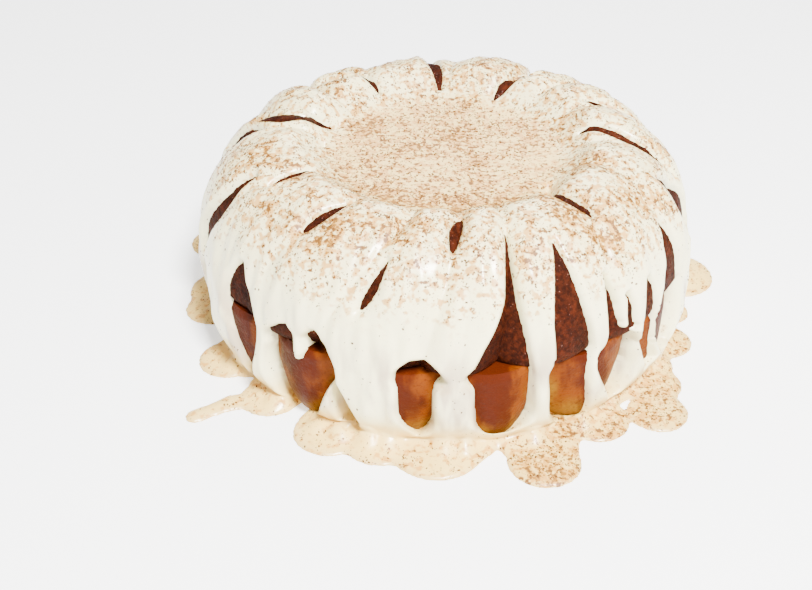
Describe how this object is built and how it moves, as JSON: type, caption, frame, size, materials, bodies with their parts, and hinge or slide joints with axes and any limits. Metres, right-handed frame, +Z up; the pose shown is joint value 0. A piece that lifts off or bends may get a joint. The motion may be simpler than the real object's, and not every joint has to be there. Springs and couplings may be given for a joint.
{
  "type": "rum cake",
  "caption": "Round fluted cake, dark crumb stacked on a golden base, under a thick cream glaze that fills the hollow on top, runs down in columns and pools round the foot, dusted with nutmeg.",
  "frame": {"origin": "the floor, under the middle of the cake", "axes": "+Z is up; -Y is the side towards the camera; +X is the camera's right"},
  "size_m": [0.2893, 0.2839, 0.1022],
  "materials": {
    "golden_crust": "baked golden crust, satin, browner in the middle of each flute",
    "dark_crumb": "dark brown fine crumb with small glints",
    "cream_glaze": "thick cream glaze, satin to gloss, dusted with nutmeg"
  },
  "bodies": {
    "root": {"lower_cake": "golden_crust", "upper_cake": "dark_crumb", "glaze": "cream_glaze"}
  },
  "joints": []
}
